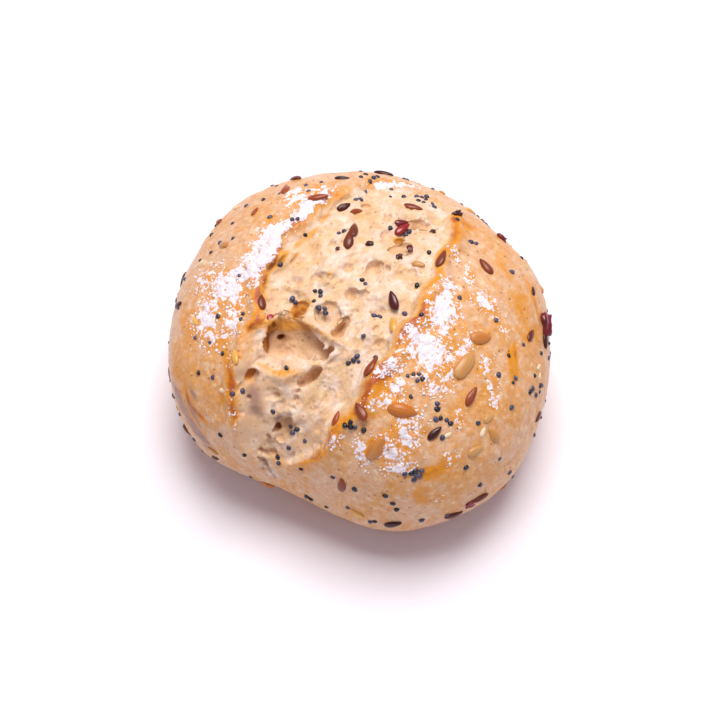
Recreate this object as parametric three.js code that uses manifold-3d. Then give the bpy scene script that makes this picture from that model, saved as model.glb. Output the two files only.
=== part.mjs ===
// A seeded bread roll, baked with one slash that tore wide open: two shoulders of crust,
// a torn strip of open crumb between them, and linseed, sunflower kernels, poppy seed and
// bits of dried berry baked into the skin.
//
// Millimetres, +Z up. The roll rests on its flat base at z = 0. +Y runs along the slash
// towards its far end and +X goes across it. A place on the skin is a bearing, in degrees
// from +X round the crown, and a tilt, in degrees down from the crown, both seen from the
// middle of the belly. A heading is the way something points, in degrees from +X, as it
// would lie on the crown.

import * as THREE from "three";
import { mergeVertices } from "three/addons/utils/BufferGeometryUtils.js";
import Module from "manifold-3d";

const wasm = await Module();
wasm.setup();

// The whole roll.
const HEIGHT = 50;
const BELLY_HEIGHT = 19.5;
const BELLY_RADIUS = 44.6;
const UNDERSIDE_DROP = 23.5;
const CROWN_FULLNESS = 2.25;
const UNDERSIDE_FULLNESS = 2.6;
const PLAN_SHIFT = new THREE.Vector3(-0.24, -1.12, 0);
// The belly isn't round: each wave has its lobes, its height and the bearing of a peak.
const OUTLINE_WAVES = [
  { lobes: 2, height: 2.2, peak: 172 },
  { lobes: 3, height: 1.1, peak: 94 },
  { lobes: 4, height: 1.2, peak: 50 },
  { lobes: 5, height: 0.6, peak: 25 },
];

// The torn slash. Its two edges are arcs over the crown: the farthest that each stands
// from the middle, and the angle along the slash where it does and over which it closes.
// It is torn deep only where its left edge stands wide of the middle.
const SLASH_LEFT = { reach: 20, middle: -12, span: 76 };
const SLASH_RIGHT = { reach: 14.7, middle: -4, span: 76 };
const OPENING = { closed: 3, wide: 17 };
const TORN_EDGE = { height: 0.7, waves: 17 };
const FLAP = { reach: 3.5, middle: -35, span: 5 };
const RECESS = { shallow: 1.7, deep: 3.4, middle: -42, span: 36 };
const STEP_WIDTH = 2.6;
const LIP = { height: 1.5, offset: 1.4, width: 2.2 };

// Slow swells of the baked skin, and the finer lumps of the torn crumb.
const CRUST_SWELL = { seed: 110, waves: 10, length: 30, height: 0.55 };
const CRUMB_SWELL = { seed: 29, waves: 14, length: 9, height: 0.65 };

// Gas bubbles that the tear opened. The largest lies under the skin, so its rim overhangs.
const BUBBLES = [
  { bearing: -117, tilt: 42, heading: 165, length: 13, width: 10.5, depth: 5, under: 1.2 },
  { bearing: -127, tilt: 31, heading: 64, length: 4.8, width: 3.2, depth: 3.2, under: 0 },
  { bearing: -107, tilt: 21, heading: 117, length: 7.4, width: 6, depth: 1.5, under: 0 },
  { bearing: -83, tilt: 25, heading: 85, length: 6.4, width: 2.6, depth: 2.4, under: 0 },
  { bearing: -90, tilt: 47, heading: 66, length: 6.8, width: 2.6, depth: 2.8, under: 0 },
  { bearing: -88, tilt: 38, heading: 52, length: 5.2, width: 2.4, depth: 1.6, under: 0 },
  { bearing: -94, tilt: 71, heading: 72, length: 6, width: 5, depth: 2.8, under: 0 },
  { bearing: -113, tilt: 57, heading: 69, length: 4.2, width: 3, depth: 2, under: 0 },
  { bearing: -91, tilt: 7, heading: 47, length: 4.8, width: 3.2, depth: 2, under: 0 },
  { bearing: -45, tilt: 11, heading: 78, length: 5, width: 2.4, depth: 1.5, under: 0 },
  { bearing: 70, tilt: 11, heading: 32, length: 5.2, width: 2.8, depth: 1.8, under: 0 },
  { bearing: 71, tilt: 22, heading: 13, length: 5.6, width: 4, depth: 2.2, under: 0 },
  { bearing: 112, tilt: 40, heading: 58, length: 3.6, width: 2.4, depth: 1.2, under: 0 },
  { bearing: 78, tilt: 40, heading: 32, length: 6, width: 2.2, depth: 1.4, under: 0 },
  { bearing: -97, tilt: 80, heading: 80, length: 5, width: 2.2, depth: 1.5, under: 0 },
];

// Webs of dough left standing between the bubbles, each as bearings and tilts along it.
const WEBS = [
  [[-126, 44], [-128, 40], [-124, 36], [-120, 33], [-111, 32], [-103, 30], [-93, 31], [-79, 31]],
  [[-119, 57], [-112, 53], [-106, 52], [-101, 50], [-97, 47], [-92, 42]],
];
const WEB = { radius: 1.3, lift: 0, endLift: -1.1, sides: 6, steps: 12 };

// Seeds and fruit: the size of each kind, and how much of its thickness is in the skin.
const LINSEED = { length: 4.7, width: 2.5, thickness: 1.5, sunk: 0.35 };
const SUNFLOWER = { length: 6.6, width: 3.7, thickness: 2.1, sunk: 0.4 };
const BERRY = { length: 3.2, width: 2.4, thickness: 1.8, sunk: 0.35 };
const POPPY = { length: 1.35, width: 1.2, thickness: 1.15, sunk: 0.3 };

// The seeds that stand out most, each as its bearing, tilt and heading.
const LAID = [
  {
    kind: LINSEED,
    places: [
      [141, 65, 157], [125, 54, 17], [127, 40, 53], [120, 37, 16], [124, 25, 112],
      [132, 20, 109], [89, 46, 12], [85, 34, 69], [43, 33, 96], [-12, 18, 128],
      [-140, 40, 124], [39, 50, 155], [-63, 52, 144], [-38, 62, 75], [-69, 79, 98],
      [16, 67, 87], [-20, 59, 90], [-57, 39, 82], [-73, 57, 88], [165, 55, 100],
      [-1, 85, 75], [20, 75, 132], [-157, 73, 11], [-54, 94, 52], [-37, 94, 41],
      [-29, 91, 57], [-113, 95, 39], [141, 41, 28], [168, 76, 151], [33, 67, 116],
      [-31, 26, 128], [-121, 54, 127], [87, 70, 79], [74, 68, 56], [-64, 92, 147],
      [-113, 90, 176], [-145, 63, 150],
    ],
  },
  {
    kind: SUNFLOWER,
    places: [
      [1, 50, 43], [-14, 51, 84], [-47, 53, 15], [-58, 63, 81], [-20, 72, 167],
      [-176, 57, 161], [-28, 72, 59], [39, 77, 87],
    ],
  },
  {
    kind: BERRY,
    places: [[57, 67, 11], [105, 19, 25], [70, 52, 52], [-32, 91, 42], [25, 73, 117], [-130, 40, 65]],
  },
  {
    kind: POPPY,
    places: [
      [-139, 19, 0], [-112, 21, 0], [-68, 37, 0], [-38, 20, 0], [-61, 27, 0], [133, 26, 0],
      [93, 32, 0], [89, 51, 0], [54, 32, 0], [-11, 29, 0], [16, 39, 0], [53, 51, 0],
      [13, 53, 0], [3, 61, 0], [5, 78, 0], [-34, 59, 0], [-37, 44, 0], [-67, 58, 0],
      [-88, 67, 0], [-91, 80, 0], [-72, 77, 0], [-99, 64, 0], [-103, 48, 0], [-111, 79, 0],
      [-127, 58, 0], [-142, 55, 0], [162, 35, 0], [166, 46, 0], [-179, 54, 0], [-156, 47, 0],
      [-45, 71, 0], [-29, 84, 0], [70, 73, 0], [113, 52, 0],
    ],
  },
];

// Seeds strewn by chance over the far sides.
const STREWN = [
  { kind: LINSEED, count: 20, gap: 8 },
  { kind: SUNFLOWER, count: 5, gap: 12 },
  { kind: POPPY, count: 28, gap: 5 },
];
const STREW_SEED = 7;
const STREW_TILT = { from: 8, to: 104 };
// Towards the side that the laid seeds already cover.
const NEAR_SIDE = new THREE.Vector3(0.227, -0.446, 0.866);
const NEAR_SIDE_LIMIT = 0.25;

// How finely the shapes are cut.
const SKIN_DETAIL = 13;
const CROWN_CROWDING = 0.3;
const BUBBLE_DETAIL = 1;
const SEED_SIDES = 5;
const MERGE_WITHIN = 1e-4;

const UP = new THREE.Vector3(0, 0, 1);
const BELLY_MIDDLE = new THREE.Vector3(0, 0, BELLY_HEIGHT);
const { cos, sin, hypot, atan2, sqrt, exp, min, max, PI } = Math;
const { degToRad, radToDeg, smoothstep } = THREE.MathUtils;

// A repeatable source of numbers from 0 to 1.
function chance(seed) {
  let state = seed;
  return () => {
    state = (Math.imul(state, 1664525) + 1013904223) >>> 0;
    return state / 2 ** 32;
  };
}

// An even spread of directions: two draws give a height and a bearing.
function drawnDirection(draw) {
  const height = 2 * draw() - 1;
  const bearing = 2 * PI * draw();
  const level = sqrt(1 - height * height);
  return new THREE.Vector3(level * cos(bearing), level * sin(bearing), height);
}

// Sine waves in drawn directions, added up.
function swellOf({ seed, waves, length, height }) {
  const draw = chance(seed);
  const crests = [];
  for (let i = 0; i < waves; i++) {
    const across = drawnDirection(draw).multiplyScalar((2 * PI) / (length * (0.7 + 0.6 * draw())));
    crests.push({ across, phase: 2 * PI * draw() });
  }
  const share = height / sqrt(waves);
  return (point) => crests.reduce((sum, c) => sum + share * sin(c.across.dot(point) + c.phase), 0);
}

const crustSwell = swellOf(CRUST_SWELL);
const crumbSwell = swellOf(CRUMB_SWELL);

const bump = (x, middle, span) => exp(-(((x - middle) / span) ** 2));

function bellyRadius(bearing) {
  const wave = ({ lobes, height, peak }) => height * cos(lobes * (bearing - degToRad(peak)));
  return OUTLINE_WAVES.reduce((radius, w) => radius + wave(w), BELLY_RADIUS);
}

// The round body before the slash: superellipses over and under the belly.
function bodyPoint(direction) {
  const above = direction.z >= 0;
  const fullness = above ? CROWN_FULLNESS : UNDERSIDE_FULLNESS;
  const rise = above ? HEIGHT - BELLY_HEIGHT : UNDERSIDE_DROP;
  const radius = bellyRadius(atan2(direction.y, direction.x));
  const flat = (hypot(direction.x, direction.y) / radius) ** fullness;
  const tall = (Math.abs(direction.z) / rise) ** fullness;
  return direction.clone().multiplyScalar((flat + tall) ** (-1 / fullness));
}

// How far a point lies inside the slash, in mm, less than 0 on the crust, and how open
// the slash is there: 1 along its middle and 0 past its ends.
function slashAt(point) {
  const along = radToDeg(atan2(point.y, point.z));
  const arc = ({ reach, middle, span }) => reach * sqrt(max(0, 1 - ((along - middle) / span) ** 2));
  const ragged = TORN_EDGE.height * sin(degToRad(along * TORN_EDGE.waves));
  const flap = FLAP.reach * bump(along, FLAP.middle, FLAP.span);
  const fromLeft = point.x + arc(SLASH_LEFT) + ragged - flap;
  const fromRight = arc(SLASH_RIGHT) - ragged - point.x;
  const open = smoothstep(arc(SLASH_LEFT), OPENING.closed, OPENING.wide);
  return { inside: min(fromLeft, fromRight), open, along };
}

// A point of the skin, seen from the middle of the belly: the body with its swells, the
// lifted lips beside the slash and the sunken, lumpy crumb within it.
function skinPoint(direction) {
  const point = bodyPoint(direction);
  const { inside, open, along } = slashAt(point);
  const torn = open * smoothstep(inside, 0, STEP_WIDTH);
  const recess = RECESS.shallow + (RECESS.deep - RECESS.shallow) * bump(along, RECESS.middle, RECESS.span);
  const lip = open * LIP.height * bump(inside, -LIP.offset, LIP.width);
  const lift = lip + (1 - torn) * crustSwell(point) + torn * (crumbSwell(point) - recess);
  point.addScaledVector(direction, lift);
  point.z = max(point.z, -BELLY_HEIGHT);
  return point;
}

function skinNormal(direction) {
  const step = 0.03;
  const a = new THREE.Vector3().crossVectors(direction, new THREE.Vector3(0.3, 1, 0.2)).normalize();
  const b = new THREE.Vector3().crossVectors(direction, a);
  const near = (side) => skinPoint(direction.clone().addScaledVector(side, step).normalize());
  const here = skinPoint(direction);
  const normal = near(a).sub(here).cross(near(b).sub(here)).normalize();
  return normal.dot(direction) < 0 ? normal.negate() : normal;
}

function directionOf(bearing, tilt) {
  const [turn, lean] = [degToRad(bearing), degToRad(tilt)];
  return new THREE.Vector3(sin(lean) * cos(turn), sin(lean) * sin(turn), cos(lean));
}

// Carries a shape made round the origin, pointing along +X, to a place on the skin.
function setOnSkin(geometry, direction, heading, sunk) {
  const normal = skinNormal(direction);
  const turn = new THREE.Quaternion()
    .setFromUnitVectors(UP, normal)
    .multiply(new THREE.Quaternion().setFromAxisAngle(UP, degToRad(heading)));
  const place = skinPoint(direction).addScaledVector(normal, -sunk);
  return geometry.applyMatrix4(new THREE.Matrix4().compose(place, turn, new THREE.Vector3(1, 1, 1)));
}

function toSolid(geometry) {
  geometry.deleteAttribute("normal");
  geometry.deleteAttribute("uv");
  const merged = mergeVertices(geometry, MERGE_WITHIN);
  const vertProperties = merged.attributes.position.array;
  return new wasm.Manifold(
    new wasm.Mesh({ numProp: 3, vertProperties, triVerts: new Uint32Array(merged.index.array) }),
  );
}

function toGeometry(solid) {
  const { vertProperties, triVerts } = solid.getMesh();
  const geometry = new THREE.BufferGeometry();
  geometry.setAttribute("position", new THREE.BufferAttribute(vertProperties, 3));
  geometry.setIndex(new THREE.BufferAttribute(triVerts, 1));
  geometry.computeVertexNormals();
  return geometry;
}

// The skin, with its faces crowded a little towards the crown, where the tear is.
function skinSolid() {
  const geometry = new THREE.IcosahedronGeometry(1, SKIN_DETAIL);
  const position = geometry.attributes.position;
  for (let i = 0; i < position.count; i++) {
    const direction = new THREE.Vector3().fromBufferAttribute(position, i);
    direction.z += CROWN_CROWDING;
    const point = skinPoint(direction.normalize());
    position.setXYZ(i, point.x, point.y, point.z);
  }
  return toSolid(geometry);
}

function bubbleSolid({ bearing, tilt, heading, length, width, depth, under }) {
  const geometry = new THREE.IcosahedronGeometry(1, BUBBLE_DETAIL).scale(length / 2, width / 2, depth);
  return toSolid(setOnSkin(geometry, directionOf(bearing, tilt), heading, under));
}

// A round strand that dips into the crumb at both ends and arches clear of it between.
function webSolid(path) {
  const points = path.map(([bearing, tilt], i) => {
    const direction = directionOf(bearing, tilt);
    const lift = WEB.endLift + (WEB.lift - WEB.endLift) * sin((PI * i) / (path.length - 1));
    return skinPoint(direction).addScaledVector(direction, lift);
  });
  const corner = (_, i) => {
    const turn = (2 * PI * i) / WEB.sides;
    return new THREE.Vector2(WEB.radius * cos(turn), WEB.radius * sin(turn));
  };
  const section = new THREE.Shape(Array.from({ length: WEB.sides }, corner));
  const extrudePath = new THREE.CatmullRomCurve3(points);
  return toSolid(new THREE.ExtrudeGeometry(section, { steps: WEB.steps, bevelEnabled: false, extrudePath }));
}

// A seed with a blunt end and a pointed one: a lathe-turned drop, pressed flat.
function dropGeometry({ length, width, thickness }) {
  const outline = [
    [0, -0.5],
    [0.47, -0.22],
    [0.42, 0.16],
    [0, 0.5],
  ];
  return new THREE.LatheGeometry(outline.map(([x, y]) => new THREE.Vector2(x, y)), SEED_SIDES)
    .rotateZ(-PI / 2)
    .scale(length, width, thickness);
}

function grainGeometry({ length, width, thickness }) {
  return new THREE.IcosahedronGeometry(0.5, 0).scale(length, width, thickness);
}

function seedSolid(kind, direction, heading) {
  const geometry = kind === LINSEED || kind === SUNFLOWER ? dropGeometry(kind) : grainGeometry(kind);
  const sunk = kind.thickness * (kind.sunk - 0.5);
  return toSolid(setOnSkin(geometry, direction, heading, sunk));
}

// Draws places on the far side until the count is met, each clear of the tear and of what
// is already there.
function strewn({ kind, count, gap }, taken, draw) {
  const found = [];
  while (found.length < count) {
    const direction = drawnDirection(draw);
    const heading = 360 * draw();
    const tilt = radToDeg(Math.acos(direction.z));
    const place = skinPoint(direction);
    if (tilt < STREW_TILT.from || tilt > STREW_TILT.to) continue;
    if (direction.dot(NEAR_SIDE) > NEAR_SIDE_LIMIT || slashAt(place).inside > -1) continue;
    if (taken.some((other) => other.distanceTo(place) < gap)) continue;
    taken.push(place);
    found.push({ kind, direction, heading });
  }
  return found;
}

function allSeeds() {
  const laid = LAID.flatMap(({ kind, places }) =>
    places.map(([bearing, tilt, heading]) => ({ kind, direction: directionOf(bearing, tilt), heading })),
  );
  const taken = laid.map(({ direction }) => skinPoint(direction));
  const draw = chance(STREW_SEED);
  return [...laid, ...STREWN.flatMap((sort) => strewn(sort, taken, draw))];
}

// One solid: the skin less its bubbles, with the webs and the seeds fused on. Taking the largest body
// drops a scrap that a bubble cut loose and fills a hollow that the seeds sealed.
function rollSolid() {
  const crumb = wasm.Manifold.difference([skinSolid(), ...BUBBLES.map(bubbleSolid)]);
  const seeds = allSeeds().map(({ kind, direction, heading }) => seedSolid(kind, direction, heading));
  const bodies = wasm.Manifold.union([crumb, ...WEBS.map(webSolid), ...seeds]).decompose();
  return bodies.reduce((largest, body) => (body.volume() > largest.volume() ? body : largest));
}

const crust = new THREE.MeshStandardMaterial({ color: 0xdcae72, roughness: 0.6, metalness: 0 });
const roll = new THREE.Mesh(toGeometry(rollSolid()), crust);
roll.name = "bread_roll";
roll.position.copy(BELLY_MIDDLE).add(PLAN_SHIFT);

const part = new THREE.Group();
part.add(roll);

export default part;
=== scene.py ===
import math

import bmesh
import bpy
import numpy as np
from mathutils import Matrix, Quaternion, Vector, noise
from mathutils.kdtree import KDTree


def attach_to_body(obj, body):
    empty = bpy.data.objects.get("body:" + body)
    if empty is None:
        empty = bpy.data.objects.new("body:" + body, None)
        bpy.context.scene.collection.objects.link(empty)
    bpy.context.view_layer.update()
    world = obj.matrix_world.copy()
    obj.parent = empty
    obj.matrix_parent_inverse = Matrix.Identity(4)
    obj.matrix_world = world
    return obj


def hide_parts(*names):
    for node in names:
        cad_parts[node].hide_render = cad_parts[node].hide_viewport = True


# A seeded bread roll with one slash that tore wide open. The sizes are the CAD model's, in
# millimetres from the middle of the belly; meshes are made in metres. A place on the skin
# is a bearing, in degrees from +X round the crown, and a tilt, in degrees down from the
# crown. A heading is the way something points, as it would lie on the crown.

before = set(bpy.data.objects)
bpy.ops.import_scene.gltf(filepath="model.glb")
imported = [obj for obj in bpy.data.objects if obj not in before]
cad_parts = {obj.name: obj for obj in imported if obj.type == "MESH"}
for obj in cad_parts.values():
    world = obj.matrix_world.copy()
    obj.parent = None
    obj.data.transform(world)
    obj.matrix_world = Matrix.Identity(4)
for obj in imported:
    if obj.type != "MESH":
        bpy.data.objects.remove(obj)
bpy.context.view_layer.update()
MM = 0.001

# The whole roll.
HEIGHT = 50
BELLY_HEIGHT = 19.5
BELLY_RADIUS = 44.6
UNDERSIDE_DROP = 23.5
CROWN_FULLNESS = 2.25
UNDERSIDE_FULLNESS = 2.6
PLAN_SHIFT = Vector((-0.24, -1.12, 0))
BELLY_MIDDLE = Vector((0, 0, BELLY_HEIGHT)) + PLAN_SHIFT
# Each wave of the belly: its lobes, its height and the bearing of a peak.
OUTLINE_WAVES = ((2, 2.2, 172), (3, 1.1, 94), (4, 1.2, 50), (5, 0.6, 25))

# The torn slash: the reach, middle angle and half span of its two edges.
SLASH_LEFT = (20, -12, 76)
SLASH_RIGHT = (14.7, -4, 76)
OPENING_CLOSED = 3
OPENING_WIDE = 17
TORN_EDGE_HEIGHT = 0.7
TORN_EDGE_WAVES = 17
FLAP_REACH = 3.5
FLAP_MIDDLE = -35
FLAP_SPAN = 5
# Lower down the dough on the left bulges over the tear.
BULGE_REACH = 1.6
BULGE_MIDDLE = -56
BULGE_SPAN = 20
RECESS_SHALLOW = 1.7
RECESS_DEEP = 3.4
RECESS_MIDDLE = -42
RECESS_SPAN = 36
STEP_WIDTH = 1.8
LIP_HEIGHT = 1.3
LIP_OFFSET = 1.2
LIP_WIDTH = 1.9

# Swells of the skin, as in the CAD model: the start of the draw, how many waves, their length
# and their height.
CRUST_SWELL = (110, 10, 30, 0.55)
CRUMB_SWELL = (29, 14, 9, 0.65)

# Bubbles and cracks in the tear: bearing, tilt, heading, length, width, depth, how far the
# middle is under the skin, and how many degrees the end that the heading points to dips.
BUBBLES = (
    (-114, 41, 165, 14.5, 12, 2.4, 0.5, 4),
    (-99, 38, 22, 10, 6, 2.1, 0.3, 0),
    (-114, 44, -25, 5.6, 4.8, 1.4, 2.0, 0),
    (-122, 42, 0, 1.4, 1.4, 1.6, 1.8, 0),
    (-121, 36, 0, 1.3, 1.3, 1.5, 1.6, 0),
    (-119, 43, 53, 1.9, 1.3, 1.6, 3.0, 0),
    (-111, 41, 20, 1.1, 0.9, 1.2, 2.8, 0),
    (-128, 30, 71, 3.6, 2.7, 2.8, 0.5, 20),
    (-127, 33, 95, 1.8, 1.1, 1.0, 0, 0),
    (-114, 57, 92, 3.9, 2.4, 1.9, 0.3, 0),
    (-88, 38, 58, 5.8, 2.5, 1.7, 0, 12),
    (-90, 47, 63, 6.4, 2.4, 2.8, 0.2, 0),
    (-93, 51, 47, 2.4, 1.7, 2.2, 0.2, 0),
    (-84, 25, 90, 6.2, 2.2, 2.5, 0.2, 0),
    (-87, 28, 60, 2.3, 1.8, 2.0, 0, 0),
    (-105, 22, 110, 6.2, 5.4, 1.9, 0.1, 0),
    (-93, 54, 70, 1.7, 1.1, 1.1, 0.1, 0),
    (-93, 57, 63, 2.4, 1.5, 1.3, 0, 0),
    (-92, 60, -6, 1.6, 0.9, 0.9, 0, 0),
    (-93, 63, 62, 3.0, 1.2, 1.3, 0, 0),
    (-95, 66, 55, 2.2, 1.1, 1.3, 0, 0),
    (-101, 59, 45, 1.6, 1.1, 1.0, 0, 0),
    (-93, 68, 77, 6.6, 4.4, 2.4, 0.1, 0),
    (-96, 70, 90, 2.6, 1.8, 1.6, 1.6, 0),
    (-98, 80, -19, 2.2, 1.5, 1.3, 0.1, 0),
    (-94, 79, -9, 2.3, 1.2, 1.1, 0, 0),
    (-97, 74, 102, 1.9, 1.2, 1.1, 0.2, 0),
    (-97, 83, -20, 3.0, 1.1, 1.2, 0, 0),
    (-95, 85, -24, 2.6, 0.9, 1.1, 0, 0),
    (-94, 87, -24, 3.0, 1.0, 1.2, 0, 0),
    (-92, 89, -30, 2.2, 0.9, 1.0, 0, 0),
    (-96, 87, -60, 2.0, 0.9, 1.0, 0, 0),
    (-94, 83, 10, 1.8, 0.8, 0.9, 0, 0),
    (112, 40, -169, 3.4, 2.0, 1.2, 0, 0),
    (98, 35, 79, 2.6, 1.9, 1.0, 0, 0),
    (80, 39, 34, 5.0, 2.6, 1.9, 0.2, 0),
    (74, 42, 58, 2.8, 1.1, 1.1, 0, 0),
    (80, 28, 46, 2.6, 2.2, 2.8, 0.6, 0),
    (71, 24, 46, 6, 4.4, 1.7, 0.1, 0),
    (79, 10, 62, 3.8, 2.6, 1.7, 0, 0),
    (55, 13, -20, 1.8, 1.1, 1.1, 0, 0),
    (-101, 8, 36, 3.4, 2.5, 2.0, 0.1, 0),
    (-66, 9, 65, 5.0, 2.8, 1.4, 0, 10),
    (-48, 25, 76, 2.4, 1.6, 1.2, 0, 0),
    (-173, 31, 87, 1.9, 1.4, 1.2, 0, 0),
    (-176, 30, 78, 4.0, 2.6, 0.8, 0, 0),
    (150, 23, 91, 1.9, 1.4, 1.1, 0, 0),
    (-159, 18, 26, 5.0, 2.5, 0.9, 0, 0),
    (-109, 63, 22, 1.2, 1.2, 1.3, 0.1, 0),
)

# Webs of dough left standing beside the biggest bubble: height, width and the bearings and
# tilts along each.
WEBS = (
    (
        1.5, 1.1,
        (-118, 50), (-122, 47), (-126, 43), (-127, 38), (-125, 34), (-121, 32), (-111, 30),
        (-101, 29), (-89, 30), (-77, 31),
    ),
    (
        1.0, 1.2,
        (-117, 56), (-115, 54), (-108, 53), (-101, 51), (-96, 48), (-93, 43), (-92, 40), (-82, 36),
    ),
)

# Where the crumb is golden, as a bearing, tilt, heading, length, width and how much; over 1 it is
# brown, which is painted shade in holes, trenches and under the arch of the biggest bubble.
GOLDEN_AND_SHADE = (
    (-121, 38, 20, 9, 3.6, 1.9),
    (-120, 35, 17, 13, 2.6, 1.0),
    (-110, 32, 10, 7, 2, 1.0),
    (-128, 30, 72, 5, 3.8, 2.2),
    (-89, 47, 60, 5.5, 1.6, 1.4),
    (-84, 25, 90, 5, 1.4, 1.2),
    (-94, 67, 60, 4, 2, 1.3),
    (82, 29, 40, 3, 2.2, 1.6),
    (-124, 42, 95, 6, 1.4, 0.7),
    (-101, 49, 27, 9, 1.8, 0.8),
    (-106, 30, 3, 2.6, 1.6, 1.0),
    (-163, 14, -6, 1.8, 1.4, 1.0),
    (-140, 26, 24, 1.6, 1.0, 0.9),
    (180, 31, 78, 3.6, 0.8, 1.0),
    (-174, 29, 81, 3.2, 0.7, 1.0),
    (-88, 40, 58, 5, 1.6, 0.6),
    (-112, 60, 80, 9, 3, 0.5),
    (120, 33, 60, 7, 3, 0.5),
    (178, 22, 80, 7, 2.5, 0.4),
    (-126, 39, 28, 5, 1.7, 1.0),
    (-120, 34, 15, 6, 1.7, 1.0),
    (-110, 31, 4, 7, 1.7, 1.0),
    (-97, 30, -6, 6, 1.5, 0.9),
    (-84, 31, 3, 5, 1.4, 0.7),
    (-112, 53, -2, 6, 1.7, 0.8),
    (-104, 51, 4, 6, 1.9, 1.1),
    (-97, 48, 38, 5, 1.7, 0.8),
    (-128, 49, -40, 8, 5, 0.6),
)

# Where the dough stretched and skinned over again, so that it is smooth and tan.
SMOOTH = (
    (-107, 63, -60, 12, 8, 1.0),
    (-104, 74, -29, 12, 9, 1.0),
    (-104, 82, -40, 10, 7, 1.0),
    (-89, 82, -51, 11, 5, 1.0),
    (-84, 70, 50, 12, 5, 0.8),
    (-81, 76, 41, 9, 5, 1.0),
    (-107, 57, 46, 8, 4, 0.7),
    (-137, 39, 101, 14, 4.5, 0.75),
    (-124, 50, 111, 10, 5, 0.9),
    (-117, 56, 111, 8, 5, 0.9),
)
# Where the crumb shows below the end of the slash.
LACE = ((-96, 83, -48, 15, 4.5, 1.0),)
# Where the upper end of the slash stayed closed, under crust and flour.
CLOSED = (
    (113, 52, 42, 13, 6, 1.0),
    (99, 58, 26, 13, 6, 1.0),
    (88, 56, 0, 9, 5, 0.9),
    (126, 44, 60, 6, 4, 0.7),
)
# Hollows whose floor gets little of the painted hollow shade, so that it is as bright as the crumb round
# them.
BRIGHT_FLOORS = ((-105, 42, 20, 16, 11, 1.2), (-92, 72, 70, 4, 4, 0.8), (-105, 21, 117, 7, 6, 0.7))

# Painted lilac-grey shade, in hollows of the crumb and low on the belly.
LILAC_SHADE = (
    (-108, 62, -51, 8, 5.5, 0.9),
    (-105, 66, -22, 7, 4.5, 0.8),
    (-96, 65, 61, 5, 2.2, 1.0),
    (-113, 57, -34, 3, 2.2, 1.0),
    (-96, 76, -44, 5, 2.4, 0.6),
    (-95, 85, -40, 8, 2.8, 0.75),
    (-105, 22, 110, 6, 5, 0.8),
    (72, 24, 46, 5, 4, 0.7),
    (-98, 16, 60, 4, 3, 0.5),
    (-140, 24, 90, 5, 4, 0.4),
    (-129, 83, -49, 11, 5.5, 1.4),
    (-121, 86, -43, 13, 5.5, 1.4),
    (-125, 74, -38, 5, 2, 0.9),
    (-122, 80, -50, 11, 4, 0.8),
    (-116, 91, -10, 6, 4, 0.9),
    (-140, 88, 7, 6, 5, 0.9),
    (40, 83, 90, 8, 2.5, 0.5),
    (-18, 85, 60, 7, 2, 0.45),
    (22, 40, 90, 6, 4, 0.3),
)

# Flour left from the proving board: bearing, tilt, heading, length, width, how thick.
FLOUR = (
    (146, 38, 71, 14.6, 7.1, 1.0),
    (147, 51, 35, 6.7, 5, 0.8),
    (176, 37, 83, 13.4, 11.2, 1.0),
    (-169, 39, 92, 10.1, 9.2, 1.0),
    (-159, 42, 44, 11.2, 9.2, 0.9),
    (-154, 50, 83, 10.1, 11.2, 0.95),
    (-145, 59, 98, 12.3, 9.2, 0.75),
    (-137, 51, 93, 10.1, 6.1, 0.8),
    (-136, 60, 75, 6.7, 8.1, 0.6),
    (-164, 64, 77, 4.5, 5, 0.4),
    (-121, 57, 112, 6.7, 3.4, 0.35),
    (-110, 67, 120, 10.1, 3.4, 0.4),
    (130, 40, 78, 6.7, 3.4, 0.8),
    (107, 54, 43, 9, 3, 0.85),
    (98, 59, 24, 7.8, 4.2, 0.7),
    (117, 47, 53, 6.7, 2.6, 0.4),
    (3, 35, 107, 13.4, 7.8, 1.0),
    (-24, 39, 164, 13.4, 9.5, 1.0),
    (20, 34, 90, 6.7, 4.2, 0.8),
    (45, 40, 150, 9, 2.6, 0.5),
    (33, 43, 122, 6.7, 3.4, 0.5),
    (19, 48, 8, 10.1, 5.1, 0.75),
    (-26, 29, 91, 6.7, 3.4, 0.6),
    (-8, 48, 89, 9, 5.1, 0.6),
    (-47, 38, 53, 10.1, 5.1, 0.75),
    (-47, 46, 29, 4.5, 5.1, 0.8),
    (-31, 49, 3, 10.1, 6.8, 0.65),
    (-20, 50, 61, 6.7, 5.1, 0.6),
    (-7, 56, 89, 6.7, 4.2, 0.6),
    (-11, 61, 89, 6.7, 4.2, 0.5),
    (-14, 65, 35, 3.4, 3.4, 0.7),
    (-55, 50, 30, 11.2, 5.1, 0.5),
    (-47, 60, 89, 11.2, 7.8, 0.7),
    (-53, 64, 175, 11.2, 6.8, 0.7),
    (-63, 65, 119, 10.1, 3.4, 0.6),
    (-73, 62, 33, 5.6, 3.8, 0.6),
    (-28, 62, 123, 6.7, 3.4, 0.5),
    (-36, 70, 94, 5.6, 4.2, 0.5),
    (-52, 69, 27, 9, 5.1, 0.6),
    (-41, 82, 22, 5.6, 3.4, 0.3),
    (139, 43, 65, 10, 5.6, 0.85),
    (148, 47, 50, 8, 5.6, 0.8),
    (104, 55, 37, 12, 4.2, 0.9),
    (138, 48, 65, 8, 3.2, 0.6),
    (-160, 60, 60, 10, 8.8, 0.5),
    (11, 56, 130, 6.7, 3.4, 0.35),
)

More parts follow.
